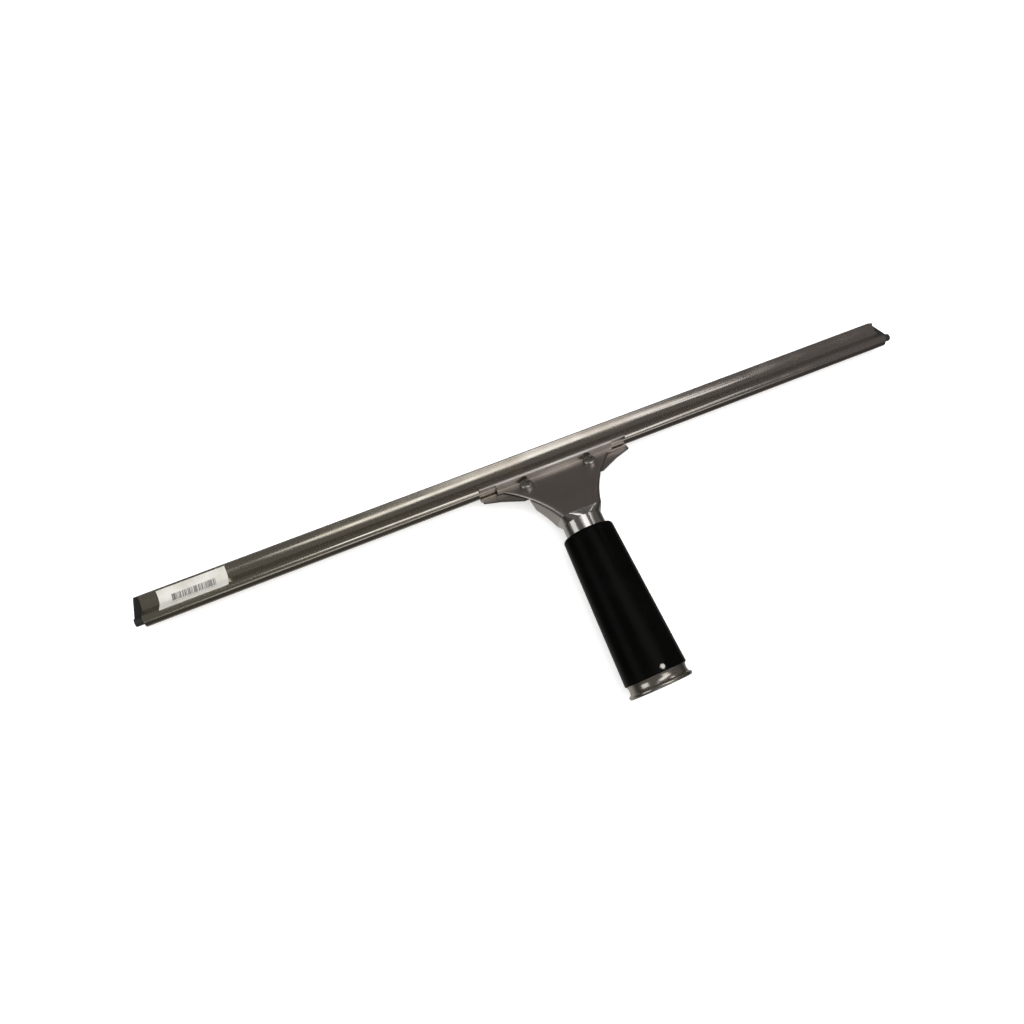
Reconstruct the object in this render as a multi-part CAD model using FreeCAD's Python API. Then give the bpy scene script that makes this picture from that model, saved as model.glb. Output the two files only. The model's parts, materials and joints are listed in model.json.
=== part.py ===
"""Professional window squeegee: a stainless channel with a rubber blade, clamped by two screws
in the trowel-shaped head of a short tubular handle with a rubber grip and a pole socket.

Millimetres.  X runs along the channel, +Y from the handle towards the blade, +Z up.  The squeegee
lies as it does on a table: the handle axis is level, and the lower wing of the channel and the
bottom of the end ferrule touch the plane Z = 0.  The origin is the bottom centre of its box.
"""
import FreeCAD, Part
import os
from math import cos, sin, tan, radians, hypot, atan2, pi, sqrt
from FreeCAD import Vector as V

# ---- driving dimensions -------------------------------------------------------------------------
CLAMP_ANGLE = 27.0        # blade plane below the level handle axis, degrees

CHANNEL_LENGTH = 508.0    # 20 inch channel
CHANNEL_SHEET = 0.8       # rolled stainless strip
BACK_REACH = 5.0          # bead centre to the outside of the channel's back
BACK_HALF = 5.2           # half the outside thickness at the back corners
PINCH_REACH = 3.8         # bead centre to the pinch that holds the rubber's neck
PINCH_HALF = 2.3          # half the outside thickness at the pinch
WING_REACH = 11.4         # bead centre to the edges of the flared wings
WING_HALF = 7.1           # half the outside opening of the wings
WING_TURN = 40.0          # how far each wing's slope turns between pinch and edge, degrees
BACK_BEND = 2.8           # bend radii of the strip's middle line
PINCH_BEND = 1.3
WING_BEND = 8.5

BEAD_RADIUS = 2.5         # the rubber's round bead, and its place behind the bead centre line
BEAD_SET_BACK = 0.9
NECK_HALF = 1.15          # half the rubber's thickness at the pinch
BLADE_REACH = 18.2        # to the wiping edge
BLADE_EDGE_HALF = 0.85    # half the rubber's thickness at the wiping edge
RUBBER_OVERHANG = 5.0     # rubber beyond each end of the channel

CLIP_SHEET = 0.3          # spring clips round the bead inside the channel's ends
CLIP_LENGTH = 12.0
CLIP_INSET = 1.0
CLIP_OPENING = 70.0       # half the clip's open angle towards the blade, degrees
CLIP_FIT = 0.06           # radial clearance of the clip on the bead

CLAMP_GAP = 0.1           # between the channel and each jaw
JAW_LENGTH = 100.0        # length of both jaws along the channel
LIP_REACH = 4.2           # how far each jaw lip reaches over the channel, from its back
HEAD_SHEET = 1.2          # pressed head and handle tube
HEAD_WIDTH = 79.0         # head plate at its front corners
HEAD_LEVEL = 0.5          # top of the head plate above the blade plane
HEAD_WAIST_RUN = 41.0     # from the front corners back to the waist, along the plate
HEAD_MID_RUN = 17.0       # a middle point of the side's arc: run and half width
HEAD_MID_HALF = 23.6
HEAD_EDGE_RADIUS = 2.6    # rounded edge between the plate and the side walls, at the front
NECK_EDGE_RADIUS = 5.0    # and at the neck
HEAD_SECTIONS = 8         # sections that the head's sides are lofted through
HEAD_LEAD = 3.6           # the loft starts this far ahead of the corners, and the flange trims it
WALL_START_RUN = 15.0     # side walls begin this far behind the front corners
WALL_TRIM = 0.4           # and end this far above the tube's lowest sheet
LIP_BEND = 2.6            # bend radii of the jaw's middle line
PLATE_BEND = 1.1

JAW_SHEET = 1.2
JAW_GAP = 0.5             # between the head plate and the lower jaw plate when clamped
JAW_OPENING = 1.6         # how far the lower jaw can be let down
EAR_DEPTH = 3.4           # depth of the jaw's ears at their ends, behind the flange
EAR_ROOT_DEPTH = 7.0      # and where the ears meet the plate
JAW_TAIL_HALF = 27.0      # half width and depth of the jaw plate's tail
JAW_TAIL_DEPTH = 13.2
HOOK_RUN = 2.4            # a jaw's bent strip runs this far into its plate

SCREW_SPACING = 43.2      # between the two clamp screws
SCREW_SET_BACK = 4.7      # screw axes behind the flange's outer face
SCREW_RADIUS = 2.0        # M4
SCREW_PITCH = 0.7
SCREW_HEAD_RADIUS = 4.0
SCREW_HEAD_HEIGHT = 2.5
SCREW_HEAD_ROUND = 1.6
SCREW_LENGTH = 11.0       # under the head
RECESS_SPAN = 4.4
RECESS_WIDTH = 0.9
RECESS_DEPTH = 1.5
WASHER_RADIUS = 4.5
WASHER_SHEET = 0.8
HOLE_CLEARANCE = 0.25     # screw in its plain holes, radial
THREAD_CLEARANCE = 0.05   # screw in its nut, radial
SCALLOP_CLEARANCE = 0.8   # round each screw head, in the head's flange
SCALLOP_HEIGHT = 4.6
NUT_ACROSS_FLATS = 7.0
NUT_HEIGHT = 3.2

TUBE_RADIUS = 12.6
PLATE_END_RUN = 37.7      # where the flat plate ends and the neck begins, along the plate
NECK_LENGTH = 4.0         # from there to the round tube
NECK_CUT_LEAD = 0.01      # the neck's hollow starts this far ahead of its front end
NECK_FLAT = 30.0          # arc of the round end that meets each flat side of the neck, degrees
GRIP_START = 50.8         # behind the bead centre
GRIP_LENGTH = 92.3
GRIP_FRONT_WALL = 3.3     # thickness of the rubber sleeve at its ends
GRIP_BACK_WALL = 6.5
GRIP_FRONT_ROUND = 2.0
GRIP_BACK_ROUND = 0.8
GRIP_FIT = 0.02           # rubber sleeve on the tube
FERRULE_LENGTH = 7.6      # visible bell-mouthed ring behind the grip
FERRULE_RIM_STEP = 6.9    # its rim, front and waist stand this far out from the tube
FERRULE_FRONT_STEP = 5.7
FERRULE_WAIST_STEP = 5.1
FERRULE_WAIST_BACK = 2.4  # from the ring's front to its waist
FERRULE_RIM = 2.6         # width of the rim's outer edge
FERRULE_LIP = 1.2         # end wall that the tube stops against
SOCKET_LENGTH = 62.0      # plastic liner for the pole's tip
SOCKET_FIT = 0.05
SOCKET_MOUTH_RADIUS = 10.9
SOCKET_BORE_RADIUS = 10.2
SOCKET_TIP_RADIUS = 8.6
SOCKET_LEAD_IN = 6.0
SOCKET_BORE_LENGTH = 30.0
RIVET_RADIUS = 1.2
RIVET_HEAD_RADIUS = 1.9
RIVET_HEAD_HEIGHT = 1.0
RIVET_HEAD_ROUND = 0.8
RIVET_HEAD_SINK = 0.35    # the head lies this deep in the rubber
RIVET_FROM_END = 2.8      # rivet axis before the grip's back end

LABEL_START = 10.0        # from the channel's left end
LABEL_LENGTH = 39.5
LABEL_SHEET = 0.12
LABEL_GLUE = 0.02         # between the paper and the steel
LABEL_BEND = 3.0          # the paper bridges the pinch
LABEL_START_MARGIN = 1.6  # kept clear of the back corner
LABEL_MARGIN = 0.6        # and of the wing's edge

WIDE = 200.0              # cutting blocks are larger than the head
PAST = 3.0                # and drilled cuts run this far past a surface

# ---- what follows from them ---------------------------------------------------------------------
BLADE = V(0, cos(radians(CLAMP_ANGLE)), -sin(radians(CLAMP_ANGLE)))
UP = V(0, sin(radians(CLAMP_ANGLE)), cos(radians(CLAMP_ANGLE)))
WING_SLOPE = atan2(WING_HALF - PINCH_HALF, WING_REACH - PINCH_REACH)
EDGE_SLOPE = WING_SLOPE + radians(WING_TURN / 2)
WING_EDGE = (WING_REACH - CHANNEL_SHEET / 2 * sin(EDGE_SLOPE),
             WING_HALF - CHANNEL_SHEET / 2 * (1 - cos(EDGE_SLOPE)))
BEAD_HEIGHT = UP.z * WING_EDGE[1] - BLADE.z * WING_EDGE[0]      # lower wing touches the floor
GRIP_BORE = TUBE_RADIUS + GRIP_FIT
GRIP_FRONT_RADIUS = GRIP_BORE + GRIP_FRONT_WALL
GRIP_BACK_RADIUS = GRIP_BORE + GRIP_BACK_WALL
FERRULE_RIM_RADIUS = TUBE_RADIUS + FERRULE_RIM_STEP
TUBE_BORE = TUBE_RADIUS - HEAD_SHEET
AXIS_HEIGHT = FERRULE_RIM_RADIUS                                # so does the ferrule
HANDLE_END = GRIP_START + GRIP_LENGTH + FERRULE_LENGTH
FRONT = BLADE.y * BLADE_REACH + UP.y * BLADE_EDGE_HALF
BEAD_Y = (HANDLE_END - FRONT) / 2                               # bead centre, so the box is centred
CLAMP_FRAME = FreeCAD.Placement(V(0, BEAD_Y, BEAD_HEIGHT),
                                FreeCAD.Rotation(V(1, 0, 0), -CLAMP_ANGLE))

FLANGE_IN = -(BACK_REACH + CLAMP_GAP)            # reach values of the flange behind the channel
FLANGE_OUT = FLANGE_IN - HEAD_SHEET
JAW_FLANGE_OUT = FLANGE_IN - JAW_SHEET
HEAD_UNDER = HEAD_LEVEL - HEAD_SHEET
JAW_TOP = HEAD_UNDER - JAW_GAP
SCREW_REACH = FLANGE_OUT - SCREW_SET_BACK
NECK_START = UP * HEAD_LEVEL + BLADE * (FLANGE_OUT - PLATE_END_RUN)    # from the bead centre
SIDE_SLOPE = (BACK_HALF - PINCH_HALF) / (BACK_REACH - CHANNEL_SHEET / 2 + PINCH_REACH)
SCREW_X = (-SCREW_SPACING / 2, SCREW_SPACING / 2)
SIDES = ("left", "right")


# ---- helpers ------------------------------------------------------------------------------------
def side_height(reach, lift):
    """Height of a line that runs lift away from the channel's slanted side, at a reach."""
    half = CHANNEL_SHEET / 2
    square = (half + lift) * hypot(1, SIDE_SLOPE)
    return BACK_HALF - half + square - SIDE_SLOPE * (reach + BACK_REACH - half)


def clamped(shape):
    """Move a shape from the clamp's own frame (X, reach, height) to its place."""
    moved = shape.copy()
    moved.Placement = CLAMP_FRAME.multiply(moved.Placement)
    return moved


def side_of(path, radii, offset):
    """Edges of a bent path (reach, height points) moved sideways, with an arc at each bend."""
    edges, start = [], None
    for k, (here, nxt) in enumerate(zip(path, path[1:])):
        run = (nxt - here).normalize()
        normal = V(0, -run.z, run.y)
        first = start if start else here + normal * offset
        if k + 2 == len(path):
            edges.append(Part.LineSegment(first, nxt + normal * offset).toShape())
            break
        after = (path[k + 2] - nxt).normalize()
        turn = run.getAngle(after)
        left = (run.y * after.z - run.z * after.y) > 0
        radius = radii[k]
        cut = radius * tan(turn / 2)
        centre = nxt - run * cut + normal * (radius if left else -radius)
        reach = (radius - offset) if left else (radius + offset)
        sign = -1 if left else 1
        after_normal = V(0, -after.z, after.y)
        middle = (normal + after_normal).normalize()
        a, m, b = (centre + way * (sign * reach) for way in (normal, middle, after_normal))
        edges.append(Part.LineSegment(first, a).toShape())
        edges.append(Part.Arc(a, m, b).toShape())
        start = b
    return edges


def bent_sheet(points, radii, thickness, length):
    """A strip bent along points, as long as length along X and centred on X = 0."""
    path = [V(-length / 2, reach, height) for reach, height in points]
    one = side_of(path, radii, thickness / 2)
    two = side_of(path, radii, -thickness / 2)
    caps = [Part.LineSegment(one[0].Vertexes[0].Point, two[0].Vertexes[0].Point).toShape(),
            Part.LineSegment(one[-1].Vertexes[-1].Point, two[-1].Vertexes[-1].Point).toShape()]
    wire = Part.Wire(Part.__sortEdges__(one + two + caps))
    return Part.Face(wire).extrude(V(length, 0, 0))


def plate(points, low, high):
    """A flat plate in the clamp's frame: an outline of (x, reach) points between two heights."""
    outline = Part.makePolygon([V(x, reach, low) for x, reach in points + points[:1]])
    return Part.Face(outline).extrude(V(0, 0, high - low))


def pin(x, reach, low, high, radius):
    """A cylinder square to the plates, in the clamp's frame."""
    return Part.makeCylinder(radius, high - low, V(x, reach, low))


def block(corner):
    """A large cutting block whose lowest corner is given; None centres it on zero."""
    lowest = V(*(-WIDE / 2 if value is None else value for value in corner))
    return Part.makeBox(WIDE, WIDE, WIDE, lowest)


def turned(profile):
    """Revolve (distance behind the bead centre, radius) points round the handle's axis."""
    points = [V(0, BEAD_Y - back, AXIS_HEIGHT + radius) for back, radius in profile]
    face = Part.Face(Part.makePolygon(points + points[:1]))
    return face.revolve(V(0, 0, AXIS_HEIGHT), V(0, 1, 0), 360)


def tube(start, end, outer, inner):
    """A plain round sleeve on the handle's axis, from start to end behind the bead centre."""
    return turned([(start, inner), (end, inner), (end, outer), (start, outer)])


def save(name, shape):
    """Check one node and write it."""
    shape = shape.removeSplitter()
    for solid in shape.Solids:
        if not solid.isValid():
            raise ValueError(name + " is not valid")
    if len(shape.Solids) != 1:
        raise ValueError("%s has %d solids" % (name, len(shape.Solids)))
    shape.Solids[0].exportStep("parts/" + name + ".step")
    box = shape.BoundBox
    print("%-20s %9.1f mm3  x %.2f..%.2f  y %.2f..%.2f  z %.2f..%.2f" % (
        name, shape.Volume, box.XMin, box.XMax, box.YMin, box.YMax, box.ZMin, box.ZMax))


# ---- the channel and what it holds ---------------------------------------------------------------
def upper_path(lift):
    """The channel's upper side from its back corner to the wing's edge, lift outside the strip's
    middle line: back corner, pinch, the wing's bend and its edge."""
    half = CHANNEL_SHEET / 2
    corner = V(0, -(BACK_REACH - half), BACK_HALF - half)
    pinch = V(0, PINCH_REACH, PINCH_HALF - half)
    edge = V(0, WING_REACH, WING_HALF - half)
    start_slope = WING_SLOPE - radians(WING_TURN / 2)
    run = (edge - pinch).Length / 2 / cos(radians(WING_TURN / 2))
    bend = pinch + V(0, cos(start_slope), sin(start_slope)) * run
    path = [corner, pinch, bend, edge]
    ways = [(after - here).normalize() for here, after in zip(path, path[1:])]
    squares = [V(0, -way.z, way.y) for way in ways]
    moved = [corner + squares[0] * lift]
    for k in (1, 2):
        middle = (squares[k - 1] + squares[k]).normalize()
        moved.append(path[k] + middle * (lift / middle.dot(squares[k])))
    moved.append(edge + squares[2] * lift)
    return [(point.y, point.z) for point in moved]


def make_channel():
    upper = upper_path(0)
    lower = [(reach, -height) for reach, height in reversed(upper)]
    bends = [WING_BEND, PINCH_BEND, BACK_BEND, BACK_BEND, PINCH_BEND, WING_BEND]
    return clamped(bent_sheet(lower + upper, bends, CHANNEL_SHEET, CHANNEL_LENGTH))


def make_rubber():
    """Round bead, neck through the pinch, and a blade that thins to a square wiping edge."""
    length = CHANNEL_LENGTH + 2 * RUBBER_OVERHANG
    root = sqrt(BEAD_RADIUS ** 2 - NECK_HALF ** 2) - BEAD_SET_BACK
    start = V(-length / 2, 0, 0)
    at = lambda reach, height: start + V(0, reach, height)
    edge = [at(root, NECK_HALF), at(PINCH_REACH, NECK_HALF), at(BLADE_REACH, BLADE_EDGE_HALF),
            at(BLADE_REACH, -BLADE_EDGE_HALF), at(PINCH_REACH, -NECK_HALF), at(root, -NECK_HALF)]
    lines = [Part.LineSegment(a, b).toShape() for a, b in zip(edge, edge[1:])]
    bead = Part.Arc(edge[-1], at(-BEAD_SET_BACK - BEAD_RADIUS, 0), edge[0]).toShape()
    return clamped(Part.Face(Part.Wire(lines + [bead])).extrude(V(length, 0, 0)))


def make_end_clip(side):
    """Open ring of spring strip that grips the bead just inside one end of the channel."""
    inner = BEAD_RADIUS + CLIP_FIT
    outer = inner + CLIP_SHEET
    end = CHANNEL_LENGTH / 2 - CLIP_INSET
    start = end - CLIP_LENGTH if side == "right" else -end
    angles = [radians(CLIP_OPENING), pi, 2 * pi - radians(CLIP_OPENING)]
    spots = [[V(start, -BEAD_SET_BACK + r * cos(a), r * sin(a)) for a in angles]
             for r in (inner, outer)]
    arcs = [Part.Arc(*ring).toShape() for ring in spots]
    caps = [Part.LineSegment(spots[0][k], spots[1][k]).toShape() for k in (0, 2)]
    wire = Part.Wire(Part.__sortEdges__(arcs + caps))
    return clamped(Part.Face(wire).extrude(V(CLIP_LENGTH, 0, 0)))


def make_label():
    """Paper label that lies on the upper wing and bridges the pinch down to the back corner."""
    lift = (CHANNEL_SHEET + LABEL_SHEET) / 2 + LABEL_GLUE
    corner, pinch, bend, edge = (V(0, *point) for point in upper_path(lift))
    start = corner + (pinch - corner).normalize() * LABEL_START_MARGIN
    end = edge + (bend - edge).normalize() * LABEL_MARGIN
    path = [(point.y, point.z) for point in (start, pinch, bend, end)]
    strip = bent_sheet(path, [LABEL_BEND, WING_BEND - lift], LABEL_SHEET, LABEL_LENGTH)
    strip.translate(V(-CHANNEL_LENGTH / 2 + LABEL_START + LABEL_LENGTH / 2, 0, 0))
    return clamped(strip)


# ---- the head and the lower jaw -------------------------------------------------------------------
def jaw_hook(level, sheet, sign):
    """Path of a jaw's hook: lip over the channel's slanted side, flange behind its back, plate."""
    lift = CLAMP_GAP + sheet / 2
    tip = -BACK_REACH + LIP_REACH
    back = FLANGE_IN - sheet / 2
    return [(tip, sign * side_height(tip, lift)), (back, sign * side_height(back, lift)),
            (back, level), (back - HOOK_RUN, level)]


def head_half_width(run):
    """Half width of the head plate at a distance behind its front corners: one arc each side."""
    corner, middle, waist = (V(HEAD_WIDTH / 2, 0, 0), V(HEAD_MID_HALF, HEAD_MID_RUN, 0),
                             V(TUBE_RADIUS, HEAD_WAIST_RUN, 0))
    circle = Part.Arc(corner, middle, waist).toShape().Curve
    return circle.Center.x - sqrt(circle.Radius ** 2 - (circle.Center.y - run) ** 2)


def head_edge_radius(run):
    """The rounded edge grows from the plate's front corners to the neck."""
    return HEAD_EDGE_RADIUS + (NECK_EDGE_RADIUS - HEAD_EDGE_RADIUS) * max(run, 0) / PLATE_END_RUN


def box_section(y, half, low, high, radius):
    """Closed section square to the handle's axis, with four rounded corners of equal radius."""
    corners = [V(half, y, low), V(half, y, high), V(-half, y, high), V(-half, y, low)]
    edges, ends = [], []
    for k, corner in enumerate(corners):
        before, after = corners[k - 1], corners[(k + 1) % 4]
        a = corner + (before - corner).normalize() * radius
        b = corner + (after - corner).normalize() * radius
        inward = ((before - corner).normalize() + (after - corner).normalize()) * radius
        middle = corner + inward - inward.normalize() * radius
        ends.append((a, middle, b))
    for k, (a, middle, b) in enumerate(ends):
        edges.append(Part.Arc(a, middle, b).toShape())
        edges.append(Part.LineSegment(b, ends[(k + 1) % 4][0]).toShape())
    return Part.Wire(edges)


def head_loft(inset, front_run, end_run):
    """Solid body of the head between two runs behind the front corners, inset by a wall."""
    sections = []
    for k in range(HEAD_SECTIONS + 1):
        run = front_run + (end_run - front_run) * k / HEAD_SECTIONS
        corner = V(0, BEAD_Y, BEAD_HEIGHT) + BLADE * (FLANGE_OUT - run) + UP * HEAD_LEVEL
        top = corner.z - inset / cos(radians(CLAMP_ANGLE))
        low = AXIS_HEIGHT - TUBE_RADIUS + inset
        sections.append(box_section(corner.y, head_half_width(run) - inset, low, top,
                                    head_edge_radius(run) - inset))
    return Part.makeLoft(sections, True, False)


def neck_loft(inset, lead):
    """Solid from the end of the flat plate to the round tube, inset by a wall."""
    start = V(0, BEAD_Y, BEAD_HEIGHT) + NECK_START
    top = start.z - inset / cos(radians(CLAMP_ANGLE))
    low = AXIS_HEIGHT - TUBE_RADIUS + inset
    first = box_section(start.y + lead, head_half_width(PLATE_END_RUN) - inset, low, top,
                        NECK_EDGE_RADIUS - inset)
    radius = TUBE_RADIUS - inset
    on_ring = lambda angle: V(radius * cos(angle), start.y - NECK_LENGTH,
                              AXIS_HEIGHT + radius * sin(angle))
    half_flat = radians(NECK_FLAT / 2)
    ring = []
    for k in range(4):
        side, after = (k - 1) * pi / 2, k * pi / 2
        stops = (side + half_flat, after - half_flat, after + half_flat)
        for one, two in zip(stops, stops[1:]):
            ring.append(Part.Arc(on_ring(one), on_ring((one + two) / 2), on_ring(two)).toShape())
    return Part.makeLoft([first, Part.Wire(ring)], True, False)


def screw_cuts(low, high, radius):
    return [clamped(pin(x, SCREW_REACH, low, high, radius)) for x in SCREW_X]


def make_head_plate():
    """Pressed head: a flat trowel with rounded side walls, and a hooked jaw along its front."""
    hollow = head_loft(HEAD_SHEET, -HEAD_LEAD - WALL_TRIM, PLATE_END_RUN + WALL_TRIM)
    shell = head_loft(0, -HEAD_LEAD, PLATE_END_RUN).cut(hollow)
    shell = shell.cut(clamped(block((None, FLANGE_OUT + HEAD_SHEET / 2, None))))
    shell = shell.common(Part.makeBox(HEAD_WIDTH, WIDE, WIDE, V(-HEAD_WIDTH / 2, -WIDE / 2, 0)))
    open_below = AXIS_HEIGHT - TUBE_RADIUS + HEAD_SHEET + WALL_TRIM
    shell = shell.cut(block((None, None, open_below - WIDE)))
    jaw_room = block((None, FLANGE_OUT - WALL_START_RUN, HEAD_UNDER - WIDE))
    shell = shell.cut(clamped(jaw_room))
    path = jaw_hook(HEAD_LEVEL - HEAD_SHEET / 2, HEAD_SHEET, 1)
    hook = bent_sheet(path, [LIP_BEND, PLATE_BEND], HEAD_SHEET, JAW_LENGTH)
    for x in (HEAD_WIDTH / 2, -HEAD_WIDTH / 2 - WIDE):
        hook = hook.cut(block((x, FLANGE_IN - WIDE, None)))
    head = shell.fuse(clamped(hook))
    scallop = WASHER_RADIUS + SCALLOP_CLEARANCE
    for cut in (screw_cuts(HEAD_LEVEL - PAST, HEAD_LEVEL + PAST, SCREW_RADIUS + HOLE_CLEARANCE)
                + screw_cuts(HEAD_LEVEL, HEAD_LEVEL + SCALLOP_HEIGHT, scallop)):
        head = head.cut(cut)
    return head


def make_lower_jaw():
    """Plate with two ears under the head, and a hooked jaw that mirrors the head's."""
    path = jaw_hook(JAW_TOP - JAW_SHEET / 2, JAW_SHEET, -1)
    hook = bent_sheet(path, [LIP_BEND, PLATE_BEND], JAW_SHEET, JAW_LENGTH)
    front = JAW_FLANGE_OUT
    right = [(JAW_LENGTH / 2, front - EAR_DEPTH), (HEAD_WIDTH / 2, front - EAR_ROOT_DEPTH),
             (JAW_TAIL_HALF, front - JAW_TAIL_DEPTH)]
    edge = right + [(-x, reach) for x, reach in reversed(right)]
    whole = lambda reach: [(-JAW_LENGTH / 2, reach), (JAW_LENGTH / 2, reach)] + edge
    ears = plate(whole(front + JAW_SHEET / 4), JAW_TOP - JAW_SHEET, JAW_TOP)
    jaw = hook.fuse(ears).common(plate(whole(WIDE / 2), -WIDE / 2, WIDE / 2))
    for x in SCREW_X:
        jaw = jaw.cut(pin(x, SCREW_REACH, JAW_TOP - JAW_SHEET - PAST, JAW_TOP + PAST,
                          SCREW_RADIUS + HOLE_CLEARANCE))
    return clamped(jaw)


# ---- fasteners ------------------------------------------------------------------------------------
def make_screw(x):
    """Pan-head screw with a cross recess; its head rests on the washer."""
    seat = HEAD_LEVEL + WASHER_SHEET
    head = pin(x, SCREW_REACH, seat, seat + SCREW_HEAD_HEIGHT, SCREW_HEAD_RADIUS)
    top = [e for e in head.Edges if abs(e.BoundBox.ZMin - seat - SCREW_HEAD_HEIGHT) < 1e-6]
    head = head.makeFillet(SCREW_HEAD_ROUND, top[:1])
    for wide, deep in ((RECESS_SPAN, RECESS_WIDTH), (RECESS_WIDTH, RECESS_SPAN)):
        head = head.cut(Part.makeBox(wide, deep, RECESS_DEPTH + PAST, V(
            x - wide / 2, SCREW_REACH - deep / 2, seat + SCREW_HEAD_HEIGHT - RECESS_DEPTH)))
    shank = pin(x, SCREW_REACH, seat - SCREW_LENGTH, seat, SCREW_RADIUS)
    bottom = [e for e in shank.Edges if abs(e.BoundBox.ZMax - seat + SCREW_LENGTH) < 1e-6]
    return clamped(head.fuse(shank.makeChamfer(SCREW_PITCH / 2, bottom[:1])))


def make_washer(x):
    ring = pin(x, SCREW_REACH, HEAD_LEVEL, HEAD_LEVEL + WASHER_SHEET, WASHER_RADIUS)
    hole = pin(x, SCREW_REACH, HEAD_LEVEL - PAST, HEAD_LEVEL + PAST, SCREW_RADIUS + HOLE_CLEARANCE)
    return clamped(ring.cut(hole))


def make_nut(x):
    """Hexagon nut welded under the lower jaw."""
    top = JAW_TOP - JAW_SHEET
    corner = NUT_ACROSS_FLATS / 2 / cos(pi / 6)
    points = [(x + corner * cos(k * pi / 3), SCREW_REACH + corner * sin(k * pi / 3))
              for k in range(6)]
    nut = plate(points, top - NUT_HEIGHT, top)
    bore = pin(x, SCREW_REACH, top - NUT_HEIGHT - PAST, top + PAST, SCREW_RADIUS + THREAD_CLEARANCE)
    return clamped(nut.cut(bore))


# ---- the handle ------------------------------------------------------------------------------------
def make_handle_tube():
    """Neck that turns the head's section into the round tube, and the tube to the ferrule's lip."""
    neck = neck_loft(0, 0).cut(neck_loft(HEAD_SHEET, NECK_CUT_LEAD))
    start = NECK_LENGTH - NECK_START.y
    body = neck.fuse(tube(start, HANDLE_END - FERRULE_LIP, TUBE_RADIUS, TUBE_BORE))
    return body.cut(rivet_bore())


def rivet_bore():
    return rivet_pin(RIVET_RADIUS, TUBE_BORE - PAST, GRIP_BACK_RADIUS + PAST)


def rivet_pin(radius, low, high):
    y = BEAD_Y - (GRIP_START + GRIP_LENGTH - RIVET_FROM_END)
    return Part.makeCylinder(radius, high - low, V(0, y, AXIS_HEIGHT + low))


def make_grip():
    """Tapered rubber sleeve, with a rounded shoulder at the front."""
    end = GRIP_START + GRIP_LENGTH
    sleeve = turned([(GRIP_START, GRIP_BORE), (end, GRIP_BORE), (end, GRIP_BACK_RADIUS),
                     (GRIP_START, GRIP_FRONT_RADIUS)])
    for radius, rounding in ((GRIP_FRONT_RADIUS, GRIP_FRONT_ROUND),
                             (GRIP_BACK_RADIUS, GRIP_BACK_ROUND)):
        rim = [e for e in sleeve.Edges
               if hasattr(e.Curve, "Radius") and abs(e.Curve.Radius - radius) < 1e-6]
        sleeve = sleeve.makeFillet(rounding, rim)
    return sleeve.cut(rivet_bore()).cut(rivet_seat())


def rivet_seat():
    """Room for the rivet's head where it sinks into the grip."""
    return rivet_pin(RIVET_HEAD_RADIUS, rivet_head_level(), GRIP_BACK_RADIUS + PAST)


def rivet_head_level():
    """Underside of the rivet's head, above the handle's axis."""
    slope = (GRIP_BACK_RADIUS - GRIP_FRONT_RADIUS) / GRIP_LENGTH
    return GRIP_BACK_RADIUS - slope * RIVET_FROM_END - RIVET_HEAD_SINK


def make_rivet():
    level = rivet_head_level()
    head = rivet_pin(RIVET_HEAD_RADIUS, level, level + RIVET_HEAD_HEIGHT)
    top = [e for e in head.Edges
           if abs(e.BoundBox.ZMin - AXIS_HEIGHT - level - RIVET_HEAD_HEIGHT) < 1e-6]
    head = head.makeFillet(RIVET_HEAD_ROUND, top[:1])
    return head.fuse(rivet_pin(RIVET_RADIUS, TUBE_BORE - SOCKET_FIT, level))


def make_ferrule():
    """Bell-mouthed ring pressed on the tube's end, with a hollow flank and a rolled rim."""
    start = GRIP_START + GRIP_LENGTH
    at = lambda back, radius: V(0, BEAD_Y - back, AXIS_HEIGHT + radius)
    outline = [at(HANDLE_END, FERRULE_RIM_RADIUS - FERRULE_RIM / 2),
               at(HANDLE_END, TUBE_BORE), at(HANDLE_END - FERRULE_LIP, TUBE_BORE),
               at(HANDLE_END - FERRULE_LIP, TUBE_RADIUS), at(start, TUBE_RADIUS),
               at(start, TUBE_RADIUS + FERRULE_FRONT_STEP)]
    edges = [Part.LineSegment(a, b).toShape() for a, b in zip(outline, outline[1:])]
    rim_front = at(HANDLE_END - FERRULE_RIM, FERRULE_RIM_RADIUS - FERRULE_RIM / 2)
    flank = Part.BSplineCurve()
    waist = at(start + FERRULE_WAIST_BACK, TUBE_RADIUS + FERRULE_WAIST_STEP)
    flank.interpolate([outline[-1], waist, rim_front])
    edges.append(flank.toShape())
    edges.append(Part.Arc(rim_front, at(HANDLE_END - FERRULE_RIM / 2, FERRULE_RIM_RADIUS),
                          outline[0]).toShape())
    return Part.Face(Part.Wire(edges)).revolve(V(0, 0, AXIS_HEIGHT), V(0, 1, 0), 360)


def make_socket():
    """Plastic liner inside the tube: lead-in, plain bore and a taper for the pole's tip."""
    end = HANDLE_END - FERRULE_LIP
    outer = TUBE_BORE - SOCKET_FIT
    bore_end = end - SOCKET_LEAD_IN
    taper = bore_end - SOCKET_BORE_LENGTH
    start = end - SOCKET_LENGTH
    return turned([(end, outer), (end, SOCKET_MOUTH_RADIUS), (bore_end, SOCKET_BORE_RADIUS),
                   (taper, SOCKET_BORE_RADIUS), (start, SOCKET_TIP_RADIUS), (start, outer)])


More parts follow.
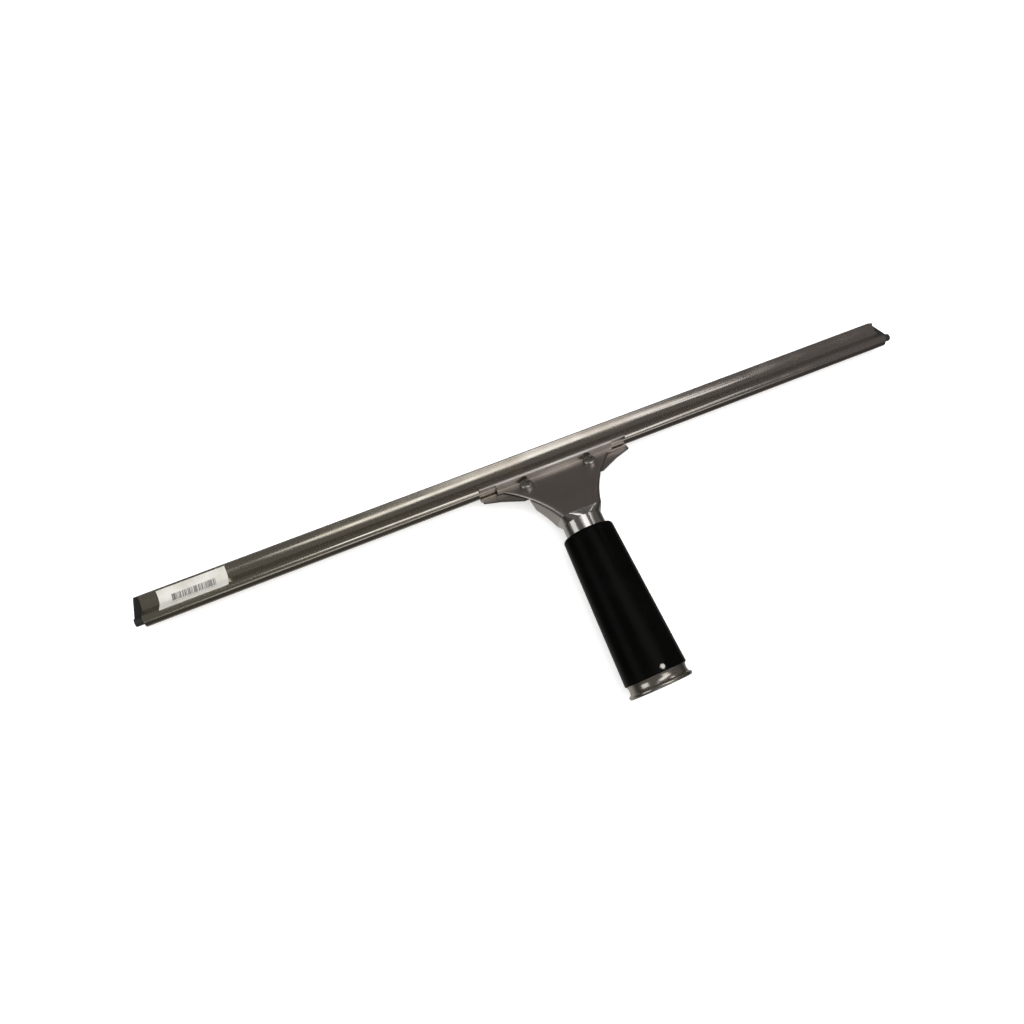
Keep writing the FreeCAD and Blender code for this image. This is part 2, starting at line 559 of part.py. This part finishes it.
# ---- build -----------------------------------------------------------------------------------------
os.makedirs("parts", exist_ok=True)
save("channel", make_channel())
save("squeegee_rubber", make_rubber())
save("paper_label", make_label())
save("head_plate", make_head_plate())
save("lower_jaw", make_lower_jaw())
for side, x in zip(SIDES, SCREW_X):
    save("end_clip_" + side, make_end_clip(side))
    save("clamp_screw_" + side, make_screw(x))
    save("washer_" + side, make_washer(x))
    save("jaw_nut_" + side, make_nut(x))
save("handle_tube", make_handle_tube())
save("rubber_grip", make_grip())
save("end_ferrule", make_ferrule())
save("grip_rivet", make_rivet())
save("pole_socket", make_socket())
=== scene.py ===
"""Looks of the window squeegee: steels, rubbers, paper and the small parts round the fixed frame.

Metres, in the frame of the CAD model: X along the channel, +Y towards the blade, +Z up.
"""
import json
from math import cos, pi, radians, sin

import bmesh
import bpy
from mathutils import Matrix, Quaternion, Vector


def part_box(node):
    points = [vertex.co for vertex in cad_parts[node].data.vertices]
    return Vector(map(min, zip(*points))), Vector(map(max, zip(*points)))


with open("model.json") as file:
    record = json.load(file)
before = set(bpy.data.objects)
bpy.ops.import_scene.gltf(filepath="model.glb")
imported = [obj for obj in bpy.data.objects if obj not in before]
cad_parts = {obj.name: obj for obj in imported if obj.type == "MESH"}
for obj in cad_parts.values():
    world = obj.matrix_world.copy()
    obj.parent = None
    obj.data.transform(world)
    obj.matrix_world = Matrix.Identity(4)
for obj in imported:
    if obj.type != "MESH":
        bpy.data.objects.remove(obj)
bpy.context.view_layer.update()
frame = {"nodes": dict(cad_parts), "record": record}
NODES = frame["nodes"]

# ---- places and sizes taken from the frame -------------------------------------------
CLAMP_ANGLE = radians(27)
BLADE = Vector((0, cos(CLAMP_ANGLE), -sin(CLAMP_ANGLE)))     # from the handle towards the blade

# ---- the studio: metres, degrees, and radiance where white paper reads 1 ---------------
CAMERA_PLACE = (-0.12805, -0.07413, 0.45449)
CAMERA_TURN = (18.415, -4.69, -23.56)
CAMERA_LENS = 26.82
SENSOR_WIDTH = 36.0
BACKDROP_WHITE = 1.1         # the white all round, as the camera sees it
FLOOR_WIDTH = 14.0
FLOOR_DROP = 0.0002          # keeps the floor clear of the lowest points
FLOOR_NEAR, FLOOR_FAR = 0.6, 1.4             # between these distances the floor whitens
FLOOR_GLOW_NEAR, FLOOR_GLOW_FAR = 0.5, 1.1
END_TINT_REACH = 0.22            # how far from the middle the tint along the steel keeps changing


# ---- shader building blocks ----------------------------------------------------------
class Nodes:
    """Short ways to add and join nodes in one tree."""

    def __init__(self, tree):
        self.tree = tree

    def add(self, kind, **settings):
        node = self.tree.nodes.new(kind)
        for name, value in settings.items():
            setattr(node, name, value)
        return node

    def put(self, socket, value):
        """Feed a socket from another socket, or set its value."""
        if isinstance(value, bpy.types.NodeSocket):
            self.tree.links.new(value, socket)
        elif value is not None:
            socket.default_value = value

    def math(self, operation, one, two=None, three=None):
        node = self.add("ShaderNodeMath", operation=operation)
        for socket, value in zip(node.inputs, (one, two, three)):
            self.put(socket, value)
        return node.outputs[0]

    def spread(self, value, low, high, to_low=0.0, to_high=1.0):
        """Map a range to another, clamped."""
        node = self.add("ShaderNodeMapRange", clamp=True)
        for socket, number in zip(node.inputs, (value, low, high, to_low, to_high)):
            self.put(socket, number)
        return node.outputs[0]

    def noise(self, place, scale, detail=3.0, roughness=0.5):
        node = self.add("ShaderNodeTexNoise")
        self.put(node.inputs["Vector"], place)
        self.put(node.inputs["Scale"], scale)
        node.inputs["Detail"].default_value = detail
        node.inputs["Roughness"].default_value = roughness
        return node.outputs["Fac"]

    def stretched(self, place, factors):
        """A place with its axes scaled, for grain that runs one way."""
        node = self.add("ShaderNodeVectorMath", operation="MULTIPLY")
        self.put(node.inputs[0], place)
        self.put(node.inputs[1], factors)
        return node.outputs[0]

    def mix_colour(self, share, one, two, blend="MIX"):
        node = self.add("ShaderNodeMix", data_type="RGBA", blend_type=blend)
        self.put(node.inputs["Factor"], share)
        self.put(node.inputs["A"], one)
        self.put(node.inputs["B"], two)
        return node.outputs["Result"]

    def bump(self, height, depth, strength=1.0):
        node = self.add("ShaderNodeBump")
        node.inputs["Strength"].default_value = strength
        node.inputs["Distance"].default_value = depth
        self.put(node.inputs["Height"], height)
        return node.outputs["Normal"]

    def place(self):
        return self.add("ShaderNodeTexCoord").outputs["Object"]


def effect_group(name, inputs, outputs, build):
    """A shader node group with named sockets. build(nodes, inputs) returns its outputs by name."""
    group = bpy.data.node_groups.new(name, "ShaderNodeTree")
    for label, kind, value in inputs:
        socket = group.interface.new_socket(name=label, in_out="INPUT", socket_type=kind)
        if value is not None:
            socket.default_value = value
    for label, kind in outputs:
        group.interface.new_socket(name=label, in_out="OUTPUT", socket_type=kind)
    nodes = Nodes(group)
    source = nodes.add("NodeGroupInput")
    sink = nodes.add("NodeGroupOutput")
    for label, value in build(nodes, source.outputs).items():
        nodes.put(sink.inputs[label], value)
    return group


def use_group(nodes, group, **values):
    """Place an effect group in a material; underscores in the names stand for spaces."""
    node = nodes.add("ShaderNodeGroup", node_tree=group)
    for name, value in values.items():
        nodes.put(node.inputs[name.replace("_", " ")], value)
    return node.outputs


FLOAT, VECTOR = "NodeSocketFloat", "NodeSocketVector"


def build_edge_wear(nodes, given):
    """1 on worn outer edges, broken up by noise."""
    bevel = nodes.add("ShaderNodeBevel", samples=4)
    nodes.put(bevel.inputs["Radius"], given["Radius"])
    geometry = nodes.add("ShaderNodeNewGeometry")
    dot = nodes.add("ShaderNodeVectorMath", operation="DOT_PRODUCT")
    nodes.put(dot.inputs[0], bevel.outputs[0])
    nodes.put(dot.inputs[1], geometry.outputs["Normal"])
    edge = nodes.spread(dot.outputs["Value"], 0.995, 0.9)
    place = nodes.place()
    patches = nodes.spread(nodes.noise(place, given["Scale"], 4.0, 0.6), 0.42, 0.6)
    mask = nodes.math("MULTIPLY", edge, patches)
    return {"Mask": nodes.math("MULTIPLY", mask, given["Amount"])}


def build_rolled_grain(nodes, given):
    """Fine lines along a direction, wide soft marks and small scratches, for rolled steel."""
    place = nodes.place()
    fine_place = nodes.stretched(place, given["Direction"])
    fine = nodes.noise(fine_place, 2600.0, 2.0, 0.6)
    broad = nodes.noise(fine_place, 620.0, 3.0, 0.55)
    smudge = nodes.noise(place, given["Smudge Scale"], 4.0, 0.55)
    cell = nodes.add("ShaderNodeTexVoronoi", feature="DISTANCE_TO_EDGE")
    nodes.put(cell.inputs["Vector"], nodes.stretched(place, (0.35, 1.0, 1.0)))
    cell.inputs["Scale"].default_value = 260.0
    scratch_here = nodes.spread(nodes.noise(place, 70.0, 2.0), 0.56, 0.64)
    scratch = nodes.math("MULTIPLY", nodes.spread(cell.outputs["Distance"], 0.012, 0.0),
                         scratch_here)
    lines = nodes.math("ADD", nodes.math("MULTIPLY", fine, 0.6),
                       nodes.math("MULTIPLY", broad, 0.4))
    return {"Lines": lines, "Broad": broad, "Smudge": nodes.spread(smudge, 0.38, 0.66),
            "Scratches": scratch}


def build_dust(nodes, given):
    """Thin dust on faces that look up, and specks."""
    place = nodes.place()
    geometry = nodes.add("ShaderNodeNewGeometry")
    split = nodes.add("ShaderNodeSeparateXYZ")
    nodes.put(split.inputs[0], geometry.outputs["Normal"])
    upward = nodes.spread(split.outputs["Z"], 0.2, 1.0)
    cloud = nodes.spread(nodes.noise(place, 45.0, 5.0, 0.65), 0.45, 0.75)
    specks = nodes.spread(nodes.noise(place, 1400.0, 2.0, 0.5), 0.70, 0.74)
    dust = nodes.math("ADD", nodes.math("MULTIPLY", cloud, 0.5), specks)
    dust = nodes.math("MULTIPLY", dust, upward)
    return {"Mask": nodes.math("MULTIPLY", dust, given["Amount"])}


def build_moulded_skin(nodes, given):
    """Fine matt skin of moulded rubber or plastic: grain height and a slow change of sheen."""
    place = nodes.place()
    grain = nodes.noise(place, given["Grain Scale"], 3.0, 0.6)
    wave = nodes.noise(place, given["Grain Scale"], 1.0, 0.4)
    slow = nodes.noise(place, 55.0, 4.0, 0.6)
    height = nodes.math("ADD", nodes.math("MULTIPLY", grain, 0.7),
                        nodes.math("MULTIPLY", wave, 0.3))
    return {"Height": height, "Sheen": nodes.spread(slow, 0.35, 0.65)}


def build_printed_bars(nodes, given):
    """Upright bars of uneven width, and a line of small marks under them, in a window of a label.
    Along and Across run from 0 to 1 over the label."""
    def window(value, low, high, soft):
        rise = nodes.spread(value, low - soft, low + soft)
        return nodes.math("MINIMUM", rise, nodes.spread(value, high + soft, high - soft))

    row = nodes.add("ShaderNodeCombineXYZ")
    nodes.put(row.inputs["X"], given["Along"])
    bars = nodes.spread(nodes.noise(row.outputs[0], 60.0, 1.0, 0.5), 0.44, 0.50)
    bars = nodes.math("MULTIPLY", bars, window(given["Across"], 0.38, 0.74, 0.01))
    marks = nodes.spread(nodes.noise(row.outputs[0], 130.0, 0.0, 0.5), 0.5, 0.56)
    marks = nodes.math("MULTIPLY", marks, window(given["Across"], 0.25, 0.31, 0.01))
    ink = nodes.math("MAXIMUM", bars, marks)
    return {"Mask": nodes.math("MULTIPLY", ink, window(given["Along"], 0.17, 0.82, 0.004))}


EDGE_WEAR = effect_group(
    "edge_wear", [("Radius", FLOAT, 0.0004), ("Scale", FLOAT, 400.0), ("Amount", FLOAT, 1.0)],
    [("Mask", FLOAT)], build_edge_wear)
ROLLED_GRAIN = effect_group(
    "rolled_grain", [("Direction", VECTOR, (0.02, 1.0, 1.0)), ("Smudge Scale", FLOAT, 40.0)],
    [("Lines", FLOAT), ("Broad", FLOAT), ("Smudge", FLOAT), ("Scratches", FLOAT)],
    build_rolled_grain)
DUST = effect_group("dust", [("Amount", FLOAT, 1.0)], [("Mask", FLOAT)], build_dust)
MOULDED_SKIN = effect_group(
    "moulded_skin", [("Grain Scale", FLOAT, 2500.0)], [("Height", FLOAT), ("Sheen", FLOAT)],
    build_moulded_skin)
PRINTED_BARS = effect_group(
    "printed_bars", [("Along", FLOAT, 0.0), ("Across", FLOAT, 0.0)], [("Mask", FLOAT)],
    build_printed_bars)


def new_material(name):
    """A material with its Principled shader joined up."""
    material = bpy.data.materials.new(name)
    material.use_nodes = True
    material.node_tree.nodes.clear()
    nodes = Nodes(material.node_tree)
    shader = nodes.add("ShaderNodeBsdfPrincipled")
    out = nodes.add("ShaderNodeOutputMaterial")
    nodes.put(out.inputs["Surface"], shader.outputs[0])
    return material, nodes, shader


# ---- materials -----------------------------------------------------------------------
def steel(name, colour, tint, smooth, smudged, grain=(0.02, 1.0, 1.0), grain_depth=1.5e-6,
          dust=0.12, wear=0.6, left=(1, 1, 1), right=(1, 1, 1)):
    """Stainless steel: colour drifting to tint, roughness between smooth and smudged, and a colour
    that changes along X from left at one end of the squeegee to right at the other."""
    material, nodes, shader = new_material(name)
    marks = use_group(nodes, ROLLED_GRAIN, Direction=grain, Smudge_Scale=38.0)
    worn = use_group(nodes, EDGE_WEAR, Radius=0.0004, Scale=500.0, Amount=wear)["Mask"]
    dusty = use_group(nodes, DUST, Amount=dust)["Mask"]
    base = nodes.mix_colour(marks["Smudge"], (*colour, 1), (*tint, 1))
    # The colour is multiplied by a shift from left at one end of the squeegee to right at the
    # other.
    split = nodes.add("ShaderNodeSeparateXYZ")
    nodes.put(split.inputs[0], nodes.place())
    end = nodes.spread(split.outputs["X"], -END_TINT_REACH, END_TINT_REACH)
    end_tint = nodes.mix_colour(end, (*left, 1), (*right, 1))
    base = nodes.mix_colour(1.0, base, end_tint, "MULTIPLY")
    dark = nodes.mix_colour(nodes.math("MULTIPLY", marks["Scratches"], 0.35), base,
                            (*(0.45 * part for part in colour), 1))
    bright = nodes.mix_colour(worn, dark, (0.78, 0.77, 0.75, 1))
    nodes.put(shader.inputs["Base Color"], nodes.mix_colour(dusty, bright, (0.42, 0.39, 0.35, 1)))
    shader.inputs["Metallic"].default_value = 1.0
    rough = nodes.spread(marks["Smudge"], 0.0, 1.0, smooth, smudged)
    rough = nodes.math("ADD", rough, nodes.math("MULTIPLY", marks["Lines"], 0.06))
    rough = nodes.math("ADD", rough, nodes.math("MULTIPLY", dusty, 0.3))
    nodes.put(shader.inputs["Roughness"], rough)
    height = nodes.math("SUBTRACT", marks["Broad"], nodes.math("MULTIPLY", marks["Scratches"], 0.3))
    nodes.put(shader.inputs["Normal"], nodes.bump(height, grain_depth))
    return material


def rubber(name, colour, faded, rough_low, rough_high, grain, depth, dust, shine=0.5):
    """Moulded rubber with a matt skin, a little paler where it is rubbed or dusty."""
    material, nodes, shader = new_material(name)
    skin = use_group(nodes, MOULDED_SKIN, Grain_Scale=grain)
    worn = use_group(nodes, EDGE_WEAR, Radius=0.0008, Scale=300.0, Amount=0.5)["Mask"]
    dusty = use_group(nodes, DUST, Amount=dust)["Mask"]
    base = nodes.mix_colour(skin["Sheen"], (*colour, 1), (*faded, 1))
    base = nodes.mix_colour(worn, base, (*(2.2 * part for part in faded), 1))
    nodes.put(shader.inputs["Base Color"], nodes.mix_colour(dusty, base, (0.16, 0.15, 0.14, 1)))
    rough = nodes.spread(skin["Sheen"], 0.0, 1.0, rough_low, rough_high)
    rough = nodes.math("ADD", rough, nodes.math("MULTIPLY", dusty, 0.3))
    nodes.put(shader.inputs["Roughness"], rough)
    nodes.put(shader.inputs["Normal"], nodes.bump(skin["Height"], depth))
    shader.inputs["Specular IOR Level"].default_value = shine
    return material


def label_paper():
    """White paper with a block of plain bars, a little yellowed and creased."""
    material, nodes, shader = new_material("label_paper")
    place = nodes.place()
    low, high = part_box("paper_label")
    reaches = [vertex.co.dot(BLADE) for vertex in NODES["paper_label"].data.vertices]
    split = nodes.add("ShaderNodeSeparateXYZ")
    nodes.put(split.inputs[0], place)
    reach = nodes.add("ShaderNodeVectorMath", operation="DOT_PRODUCT")
    nodes.put(reach.inputs[0], place)
    nodes.put(reach.inputs[1], BLADE)
    bars = use_group(nodes, PRINTED_BARS,
                     Along=nodes.spread(split.outputs["X"], low.x, high.x),
                     Across=nodes.spread(reach.outputs["Value"],
                                         min(reaches), max(reaches)))["Mask"]
    fibre = nodes.noise(place, 2200.0, 4.0, 0.6)
    stain = nodes.spread(nodes.noise(place, 90.0, 4.0, 0.6), 0.35, 0.7)
    base = nodes.mix_colour(stain, (0.74, 0.73, 0.68, 1), (0.60, 0.58, 0.52, 1))
    faded = nodes.math("MULTIPLY", bars, nodes.spread(stain, 0.0, 1.0, 0.9, 0.6))
    base = nodes.mix_colour(faded, base, (0.07, 0.07, 0.075, 1))
    nodes.put(shader.inputs["Base Color"], base)
    nodes.put(shader.inputs["Roughness"], nodes.spread(stain, 0.0, 1.0, 0.5, 0.62))
    nodes.put(shader.inputs["Normal"], nodes.bump(fibre, 4e-6))
    return material


def floor_paint():
    """Pale paint, whiter far off so that it has no horizon, and clear when seen from below."""
    material, nodes, shader = new_material("floor_paint")
    place = nodes.place()
    cloud = nodes.noise(place, 6.0, 3.0, 0.5)
    nodes.put(shader.inputs["Base Color"],
              nodes.mix_colour(cloud, (0.93, 0.93, 0.93, 1), (0.95, 0.95, 0.95, 1)))
    nodes.put(shader.inputs["Roughness"], nodes.spread(cloud, 0.3, 0.7, 0.85, 0.95))
    shader.inputs["Emission Color"].default_value = (1, 1, 1, 1)
    far = nodes.add("ShaderNodeVectorMath", operation="LENGTH")
    nodes.put(far.inputs[0], place)
    nodes.put(shader.inputs["Emission Strength"],
              nodes.spread(far.outputs["Value"], FLOOR_NEAR, FLOOR_FAR,
                           FLOOR_GLOW_NEAR, FLOOR_GLOW_FAR))
    through = nodes.add("ShaderNodeMixShader")
    nodes.put(through.inputs["Fac"], nodes.add("ShaderNodeNewGeometry").outputs["Backfacing"])
    nodes.put(through.inputs[1], shader.outputs[0])
    nodes.put(through.inputs[2], nodes.add("ShaderNodeBsdfTransparent").outputs[0])
    out = next(node for node in material.node_tree.nodes
               if node.bl_idname == "ShaderNodeOutputMaterial")
    nodes.put(out.inputs["Surface"], through.outputs[0])
    return material


MATERIALS = {
    "channel_steel": steel("channel_steel", (0.625, 0.615, 0.595), (0.58, 0.555, 0.515), 0.14, 0.25,
                           left=(1.0, 0.97, 0.84), right=(0.99, 0.93, 0.93)),
    "head_steel": steel("head_steel", (0.56, 0.54, 0.52), (0.50, 0.47, 0.455), 0.26, 0.34,
                        grain=(0.6, 0.6, 0.6), dust=0.10, grain_depth=3e-6,
                        left=(0.98, 0.98, 0.9), right=(1.0, 0.93, 0.95)),
    "tube_steel": steel("tube_steel", (0.66, 0.65, 0.62), (0.58, 0.56, 0.52), 0.11, 0.2,
                        grain=(1.0, 0.05, 1.0), dust=0.08),
    "ferrule_steel": steel("ferrule_steel", (0.60, 0.565, 0.52), (0.48, 0.44, 0.39), 0.14, 0.26,
                           grain=(1.0, 0.05, 1.0), dust=0.08),
    "fastener_steel": steel("fastener_steel", (0.60, 0.59, 0.56), (0.50, 0.48, 0.44), 0.18, 0.3,
                            grain=(0.5, 0.5, 0.5), dust=0.2),
    "spring_steel": steel("spring_steel", (0.45, 0.44, 0.42), (0.38, 0.36, 0.33), 0.25, 0.4),
    "blade_rubber": rubber("blade_rubber", (0.012, 0.012, 0.013), (0.02, 0.02, 0.021),
                           0.5, 0.62, 2600.0, 6e-6, 0.10),
    "grip_rubber": rubber("grip_rubber", (0.0012, 0.0013, 0.0011), (0.002, 0.0021, 0.0019),
                          0.24, 0.32, 1900.0, 3e-6, 0.01, shine=0.045),
    "socket_plastic": rubber("socket_plastic", (0.02, 0.02, 0.022), (0.028, 0.028, 0.03),
                             0.45, 0.55, 1500.0, 5e-6, 0.05),
    "label_paper": label_paper(),
}


def slot_of(node):
    """The material slot that the record gives a node."""
    for row in frame["record"]["subparts"]:
        if row["node"] == node:
            return row["material_slot"]
    raise ValueError("no slot for " + node)


OWN_FINISH = {"end_ferrule": "ferrule_steel"}


def finish_nodes():
    """Every node of the frame gets its own slot's material, or its own shade of it."""
    for name, piece in NODES.items():
        piece.data.materials.clear()
        piece.data.materials.append(MATERIALS[OWN_FINISH.get(name, slot_of(name))])


# ---- camera, light and floor ---------------------------------------------------------
def make_camera():
    """The one camera, with its depth of field off."""
    data = bpy.data.cameras.new("camera")
    data.sensor_width = SENSOR_WIDTH
    data.lens = CAMERA_LENS
    data.clip_start = 0.01
    camera = bpy.data.objects.new("camera", data)
    camera.location = CAMERA_PLACE
    camera.rotation_euler = [radians(turn) for turn in CAMERA_TURN]
    bpy.context.scene.collection.objects.link(camera)
    bpy.context.scene.camera = camera


def soft_light(name, place, aim, size, radiance, turn=0.0, seen_in_gloss=True, colour=(1, 1, 1)):
    """A rectangular lamp of even radiance at place, facing aim and turned about its axis."""
    data = bpy.data.lights.new(name, "AREA")
    data.shape = "RECTANGLE"
    data.size, data.size_y = size
    data.energy = radiance * pi * size[0] * size[1]
    data.color = colour
    lamp = bpy.data.objects.new(name, data)
    lamp.location = place
    facing = (Vector(aim) - Vector(place)).to_track_quat("-Z", "Y")
    lamp.rotation_euler = (facing @ Quaternion((0, 0, 1), radians(turn))).to_euler()
    lamp.visible_glossy = seen_in_gloss
    lamp.visible_camera = False
    bpy.context.scene.collection.objects.link(lamp)
    return lamp


def make_world():
    """White all round for the camera, and a dim room for everything that is lit or mirrored."""
    world = bpy.data.worlds.new("studio")
    world.use_nodes = True
    world.node_tree.nodes.clear()
    nodes = Nodes(world.node_tree)
    path = nodes.add("ShaderNodeLightPath")
    backdrop = nodes.add("ShaderNodeBackground")
    backdrop.inputs["Color"].default_value = (1, 1, 1, 1)
    backdrop.inputs["Strength"].default_value = BACKDROP_WHITE
    room = nodes.add("ShaderNodeBackground")
    split = nodes.add("ShaderNodeSeparateXYZ")
    nodes.put(split.inputs[0], nodes.add("ShaderNodeTexCoord").outputs["Generated"])
    height = split.outputs["Z"]
    walls = nodes.mix_colour(nodes.spread(height, -0.15, 0.15),
                             (0.05, 0.046, 0.043, 1), (0.12, 0.113, 0.108, 1))
    table = nodes.mix_colour(nodes.spread(height, -0.45, -0.8), walls, (0.42, 0.41, 0.39, 1))
    nodes.put(room.inputs["Color"], table)
    mix = nodes.add("ShaderNodeMixShader")
    nodes.put(mix.inputs["Fac"], path.outputs["Is Camera Ray"])
    nodes.put(mix.inputs[1], room.outputs[0])
    nodes.put(mix.inputs[2], backdrop.outputs[0])
    out = nodes.add("ShaderNodeOutputWorld")
    nodes.put(out.inputs["Surface"], mix.outputs[0])
    bpy.context.scene.world = world


def make_floor():
    """A wide floor that the steel does not mirror."""
    mesh = bpy.data.meshes.new("floor")
    shape = bmesh.new()
    bmesh.ops.create_grid(shape, x_segments=8, y_segments=8, size=FLOOR_WIDTH / 2)
    shape.to_mesh(mesh)
    shape.free()
    floor = bpy.data.objects.new("floor", mesh)
    floor.location.z = -FLOOR_DROP
    mesh.materials.append(floor_paint())
    floor.visible_glossy = False
    bpy.context.scene.collection.objects.link(floor)


def make_studio():
    """Camera, surroundings, floor and seven lamps: soft ones above, strips for the tube."""
    make_camera()
    make_world()
    make_floor()
    soft_light("overhead_soft", (0.194, 0.045, 1.0), (0.194, 0.045, 0.0), (0.89, 0.40), 1.4,
               turn=-30)
    soft_light("overhead_rear", (0.30, -0.42, 1.0), (0.30, -0.42, 0.0), (0.44, 0.45), 1.0)
    soft_light("left_strip", (-0.134, 0.135, 0.393), (0, 0.03, 0.03), (0.05, 0.10), 0.6)
    soft_light("right_strip", (0.234, 0.125, 0.274), (0, 0.03, 0.03), (0.055, 0.12), 1.2)
    soft_light("left_side", (-1.1, 0.0, 0.42), (0, 0, 0.02), (0.8, 0.6), 0.9)
    soft_light("rear_side", (0.15, -1.1, 0.5), (0, 0, 0.02), (1.4, 0.4), 0.6)
    soft_light("fill", (0.0, 0.0, 1.6), (0.0, 0.0, 0.0), (2.4, 2.4), 1.9, seen_in_gloss=False)
    bpy.context.scene.view_settings.view_transform = "Standard"


finish_nodes()
make_studio()
